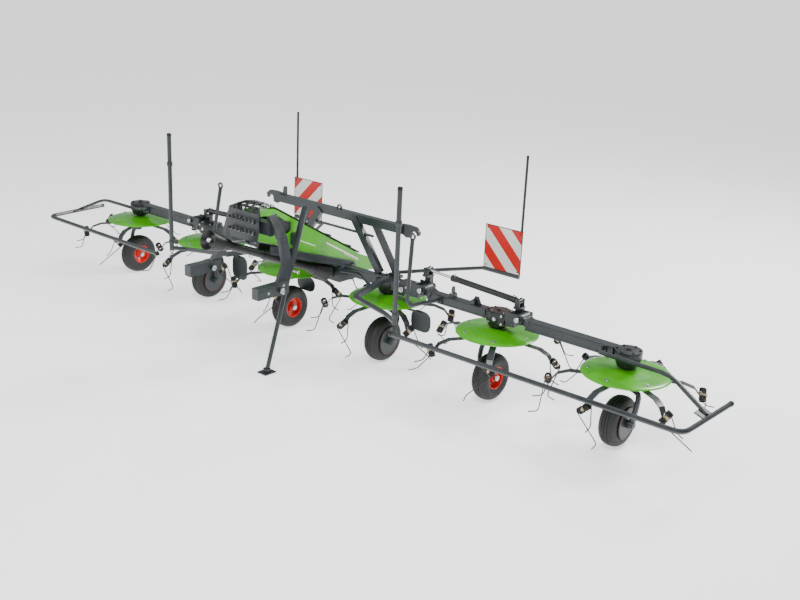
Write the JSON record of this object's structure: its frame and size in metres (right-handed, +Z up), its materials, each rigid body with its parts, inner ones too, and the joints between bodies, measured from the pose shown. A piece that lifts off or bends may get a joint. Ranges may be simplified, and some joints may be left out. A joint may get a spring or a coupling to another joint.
{
  "type": "hay tedder",
  "caption": "Three-point mounted rotary hay tedder with folding wings, tined rotors on support wheels, swan-neck boom and parking stand, shown lowered and ready to work.",
  "frame": {"origin": "on the floor, under the middle of the whole machine's bounding box", "axes": "+X runs along the rotor row, +Y points to the rear, -Y to the tractor, +Z is up"},
  "size_m": [7.982, 2.4911, 1.96],
  "materials": {
    "frame_paint": "satin anthracite powder coat",
    "green_paint": "glossy bright green paint",
    "wheel_red": "glossy red paint",
    "tyre_rubber": "matt black rubber",
    "black_plastic": "fine-grained black plastic",
    "board_sheet": "reflective sheet with red and white stripes",
    "rod_steel": "polished",
    "cylinder_paint": "satin black"
  },
  "bodies": {
    "centre_frame": {"centre_beam": "frame_paint", "rotor_gearbox_3": "frame_paint", "rotor_gearbox_4": "frame_paint", "swan_neck_boom": "green_paint", "fold_stop_frame": "frame_paint", "front_guard_left": "frame_paint", "front_guard_right": "frame_paint", "board_carrier_left": "frame_paint", "board_carrier_right": "frame_paint", "warning_board_left": "board_sheet", "warning_board_right": "board_sheet", "pto_shaft": "black_plastic", "stand_sleeve": "frame_paint"},
    "headstock_body": {"headstock": "frame_paint", "hose_panel": "frame_paint"},
    "stand": {"stand_leg": "frame_paint"},
    "inner_wing_right": {"inner_beam_right": "frame_paint", "latch_bar_right": "frame_paint", "rotor_gearbox_5": "frame_paint"},
    "outer_wing_right": {"outer_beam_right": "frame_paint", "guard_bar_right": "frame_paint", "rotor_gearbox_6": "frame_paint"},
    "fold_rod_right_body": {"fold_rod_right": "rod_steel"},
    "fold_barrel_right_body": {"fold_barrel_right": "cylinder_paint"},
    "rotor_4": {"rotor_disc_4": "green_paint", "tine_arms_4": "frame_paint"},
    "wheel_4": {"tyre_4": "tyre_rubber", "wheel_rim_4": "wheel_red"},
    "rotor_5": {"rotor_disc_5": "green_paint", "tine_arms_5": "frame_paint"},
    "wheel_5": {"tyre_5": "tyre_rubber", "wheel_rim_5": "wheel_red"},
    "rotor_6": {"rotor_disc_6": "green_paint", "tine_arms_6": "frame_paint"},
    "wheel_6": {"tyre_6": "tyre_rubber", "wheel_rim_6": "wheel_red"},
    "inner_wing_left": {"inner_beam_left": "frame_paint", "latch_bar_left": "frame_paint", "rotor_gearbox_2": "frame_paint"},
    "outer_wing_left": {"outer_beam_left": "frame_paint", "guard_bar_left": "frame_paint", "rotor_gearbox_1": "frame_paint"},
    "fold_rod_left_body": {"fold_rod_left": "rod_steel"},
    "fold_barrel_left_body": {"fold_barrel_left": "cylinder_paint"},
    "rotor_3": {"rotor_disc_3": "green_paint", "tine_arms_3": "frame_paint"},
    "wheel_3": {"tyre_3": "tyre_rubber", "wheel_rim_3": "wheel_red"},
    "rotor_2": {"rotor_disc_2": "green_paint", "tine_arms_2": "frame_paint"},
    "wheel_2": {"tyre_2": "tyre_rubber", "wheel_rim_2": "wheel_red"},
    "rotor_1": {"rotor_disc_1": "green_paint", "tine_arms_1": "frame_paint"},
    "wheel_1": {"tyre_1": "tyre_rubber", "wheel_rim_1": "wheel_red"}
  },
  "joints": [
    {"name": "headstock_swivel", "type": "hinge", "parent": "centre_frame", "child": "headstock_body", "pos_m": [0, -0.7175, 1.3], "axis": [0, 0, 1], "range_deg": [-12, 12]},
    {"name": "stand_slide", "type": "slide", "parent": "centre_frame", "child": "stand", "axis": [0, 0.2961, 0.9552], "range_m": [0, 0.6]},
    {"name": "wing_fold_right", "type": "hinge", "parent": "centre_frame", "child": "inner_wing_right", "pos_m": [1.08, 0.3825, 0.8], "axis": [0, -1, 0], "range_deg": [-5, 90]},
    {"name": "wing_tip_right", "type": "hinge", "parent": "inner_wing_right", "child": "outer_wing_right", "pos_m": [2.13, 0.3825, 0.8], "axis": [0, -1, 0], "range_deg": [-8, 8]},
    {"name": "fold_rod_right_swing", "type": "hinge", "parent": "centre_frame", "child": "fold_rod_right_body", "pos_m": [1.03, 0.4575, 0.95], "axis": [0, -1, 0], "range_deg": [-7, 98]},
    {"name": "fold_barrel_right_slide", "type": "slide", "parent": "fold_rod_right_body", "child": "fold_barrel_right_body", "axis": [0.9988, 0, -0.0499], "range_m": [-0.21, 0.015]},
    {"name": "rotor_4_spin", "type": "hinge", "parent": "centre_frame", "child": "rotor_4", "pos_m": [0.625, 0.3825, 0.6], "axis": [0, 0, 1], "continuous": true},
    {"name": "wheel_4_roll", "type": "hinge", "parent": "centre_frame", "child": "wheel_4", "pos_m": [0.625, 0.3325, 0.21], "axis": [1, 0, 0], "continuous": true},
    {"name": "rotor_5_spin", "type": "hinge", "parent": "inner_wing_right", "child": "rotor_5", "pos_m": [1.875, 0.3825, 0.6], "axis": [0, 0, 1], "continuous": true},
    {"name": "wheel_5_roll", "type": "hinge", "parent": "inner_wing_right", "child": "wheel_5", "pos_m": [1.875, 0.3325, 0.21], "axis": [1, 0, 0], "continuous": true},
    {"name": "rotor_6_spin", "type": "hinge", "parent": "outer_wing_right", "child": "rotor_6", "pos_m": [3.125, 0.3825, 0.6], "axis": [0, 0, 1], "continuous": true},
    {"name": "wheel_6_roll", "type": "hinge", "parent": "outer_wing_right", "child": "wheel_6", "pos_m": [3.125, 0.3325, 0.21], "axis": [1, 0, 0], "continuous": true},
    {"name": "wing_fold_left", "type": "hinge", "parent": "centre_frame", "child": "inner_wing_left", "pos_m": [-1.08, 0.3825, 0.8], "axis": [0, 1, 0], "range_deg": [-5, 90]},
    {"name": "wing_tip_left", "type": "hinge", "parent": "inner_wing_left", "child": "outer_wing_left", "pos_m": [-2.13, 0.3825, 0.8], "axis": [0, 1, 0], "range_deg": [-8, 8]},
    {"name": "fold_rod_left_swing", "type": "hinge", "parent": "centre_frame", "child": "fold_rod_left_body", "pos_m": [-1.03, 0.4575, 0.95], "axis": [0, 1, 0], "range_deg": [-7, 98]},
    {"name": "fold_barrel_left_slide", "type": "slide", "parent": "fold_rod_left_body", "child": "fold_barrel_left_body", "axis": [-0.9988, 0, -0.0499], "range_m": [-0.21, 0.015]},
    {"name": "rotor_3_spin", "type": "hinge", "parent": "centre_frame", "child": "rotor_3", "pos_m": [-0.625, 0.3825, 0.6], "axis": [0, 0, 1], "continuous": true},
    {"name": "wheel_3_roll", "type": "hinge", "parent": "centre_frame", "child": "wheel_3", "pos_m": [-0.625, 0.3325, 0.21], "axis": [1, 0, 0], "continuous": true},
    {"name": "rotor_2_spin", "type": "hinge", "parent": "inner_wing_left", "child": "rotor_2", "pos_m": [-1.875, 0.3825, 0.6], "axis": [0, 0, 1], "continuous": true},
    {"name": "wheel_2_roll", "type": "hinge", "parent": "inner_wing_left", "child": "wheel_2", "pos_m": [-1.875, 0.3325, 0.21], "axis": [1, 0, 0], "continuous": true},
    {"name": "rotor_1_spin", "type": "hinge", "parent": "outer_wing_left", "child": "rotor_1", "pos_m": [-3.125, 0.3825, 0.6], "axis": [0, 0, 1], "continuous": true},
    {"name": "wheel_1_roll", "type": "hinge", "parent": "outer_wing_left", "child": "wheel_1", "pos_m": [-3.125, 0.3325, 0.21], "axis": [1, 0, 0], "continuous": true}
  ],
  "couplings": [
    {"joint": "fold_rod_right_swing", "follows": "wing_fold_right", "ratio": 1.072},
    {"joint": "fold_barrel_right_slide", "follows": "wing_fold_right", "m_per_rad": -0.1271},
    {"joint": "fold_rod_left_swing", "follows": "wing_fold_left", "ratio": 1.072},
    {"joint": "fold_barrel_left_slide", "follows": "wing_fold_left", "m_per_rad": -0.1271},
    {"joint": "rotor_1_spin", "follows": "rotor_4_spin", "ratio": -1},
    {"joint": "rotor_2_spin", "follows": "rotor_4_spin", "ratio": 1},
    {"joint": "rotor_3_spin", "follows": "rotor_4_spin", "ratio": -1},
    {"joint": "rotor_5_spin", "follows": "rotor_4_spin", "ratio": -1},
    {"joint": "rotor_6_spin", "follows": "rotor_4_spin", "ratio": 1}
  ]
}
